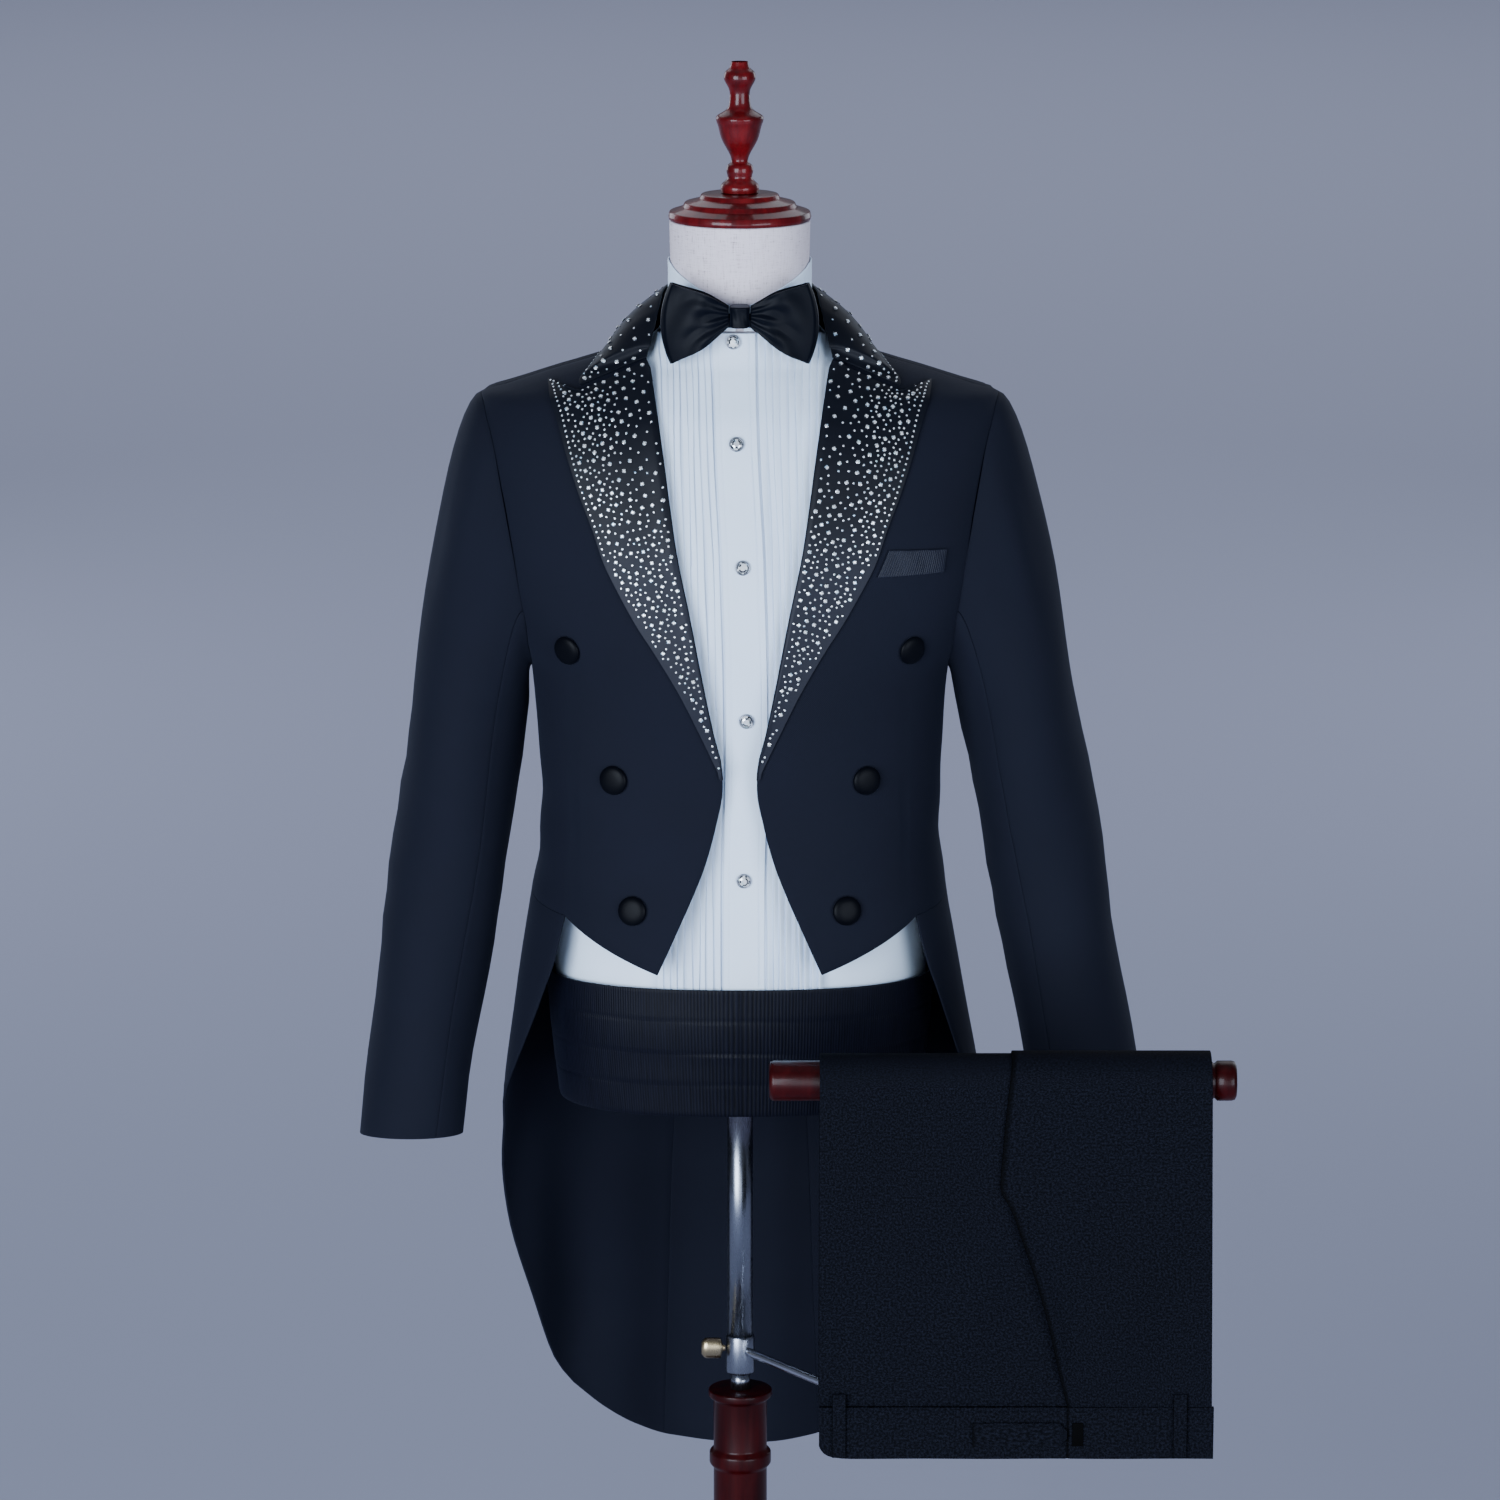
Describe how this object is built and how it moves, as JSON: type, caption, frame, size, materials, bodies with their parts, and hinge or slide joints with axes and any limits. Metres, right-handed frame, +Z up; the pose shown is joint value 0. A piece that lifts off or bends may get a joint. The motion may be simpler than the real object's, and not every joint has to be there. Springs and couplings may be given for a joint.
{
  "type": "tailcoat suit on a dress form with a trouser rod",
  "caption": "Double-breasted evening tailcoat with pleated shirt, sash and bow tie worn on a limbless dress form, folded trousers over its side rod.",
  "frame": {"origin": "on the floor under the pole's axis, at the base's underside", "axes": "+Z up along the pole; the suit's front faces -Y; the trouser rod is on the +X side"},
  "size_m": [0.7301, 0.4953, 1.698],
  "materials": {
    "wool": "matt worsted wool cloth",
    "satin": "silk satin",
    "shirting": "plain cotton shirting",
    "linen": "linen-covered form",
    "wood": "gloss stain",
    "chrome": "polished",
    "brass": "polished",
    "crystal": "cut crystal in a white metal rim"
  },
  "bodies": {
    "root": {"bow_band": "satin", "bow_knot": "satin", "bow_wing_left": "satin", "bow_wing_right": "satin", "coat_back_left": "wool", "coat_back_right": "wool", "coat_breast_welt": "satin", "coat_button_left_1": "satin", "coat_button_left_2": "satin", "coat_button_left_3": "satin", "coat_button_right_1": "satin", "coat_button_right_2": "satin", "coat_button_right_3": "satin", "coat_collar": "satin", "coat_collar_stand": "wool", "coat_front_left": "wool", "coat_front_right": "wool", "coat_lapel_left": "satin", "coat_lapel_right": "satin", "coat_side_left": "wool", "coat_side_right": "wool", "coat_skirt_left": "wool", "coat_skirt_right": "wool", "coat_top_sleeve_left": "wool", "coat_top_sleeve_right": "wool", "coat_under_sleeve_left": "wool", "coat_under_sleeve_right": "wool", "form_body": "linen", "form_cap": "wood", "form_finial": "wood", "sash": "satin", "shirt_back": "shirting", "shirt_collar": "shirting", "shirt_front_left": "shirting", "shirt_front_right": "shirting", "shirt_placket": "shirting", "stand_arm": "chrome", "stand_base": "wood", "stand_clamp": "chrome", "stand_knob": "brass", "stand_lower_rod": "chrome", "stand_pole": "chrome", "stand_post": "wood", "stud_1": "crystal", "stud_2": "crystal", "stud_3": "crystal", "stud_4": "crystal", "stud_5": "crystal", "trouser_folded_legs": "wool", "trouser_half_left": "wool", "trouser_half_right": "wool", "trouser_loop_1": "wool", "trouser_loop_2": "wool", "trouser_rod": "wood", "trouser_tab": "wool", "trouser_waistband": "wool"}
  },
  "joints": []
}
